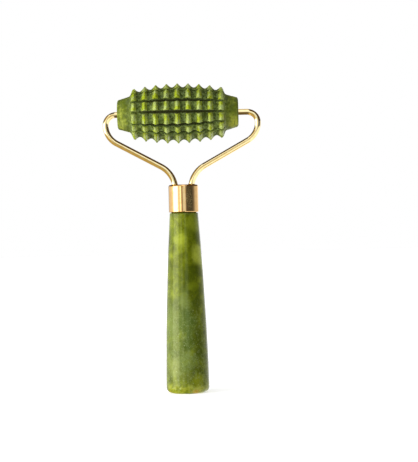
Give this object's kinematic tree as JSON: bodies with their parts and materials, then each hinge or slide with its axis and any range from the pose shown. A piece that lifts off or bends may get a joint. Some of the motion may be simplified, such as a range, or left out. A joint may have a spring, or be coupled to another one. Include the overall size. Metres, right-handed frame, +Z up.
{
  "type": "jade face roller",
  "caption": "Hand-held face massage roller: a ridged stone barrel spinning in a gilt wire yoke, fixed by a ferrule to a tapered stone handle.",
  "frame": {"origin": "centre of the handle's flat butt, so the tool stands upright on Z = 0", "axes": "+Z up along the handle to the roller, +X along the roller's axle, +Y square to the yoke's plane, towards its back"},
  "size_m": [0.0538, 0.0204, 0.105],
  "materials": {
    "jade_handle": "polished mottled green jade",
    "jade_roller": "ground green jade, semi-matt",
    "gilt_ferrule": "polished rose-gold plate",
    "gilt_wire": "polished gold plate",
    "brass_stud": "turned, unpolished",
    "nylon_bush": "natural nylon"
  },
  "bodies": {
    "frame": {"handle": "jade_handle", "ferrule": "gilt_ferrule", "anchor_stud": "brass_stud", "left_arm": "gilt_wire", "right_arm": "gilt_wire"},
    "roller": {"roller": "jade_roller", "left_bush": "nylon_bush", "right_bush": "nylon_bush"}
  },
  "joints": [
    {"name": "roller_spin", "type": "hinge", "parent": "frame", "child": "roller", "pos_m": [0, 0, 0.0948], "axis": [1, 0, 0], "continuous": true}
  ]
}
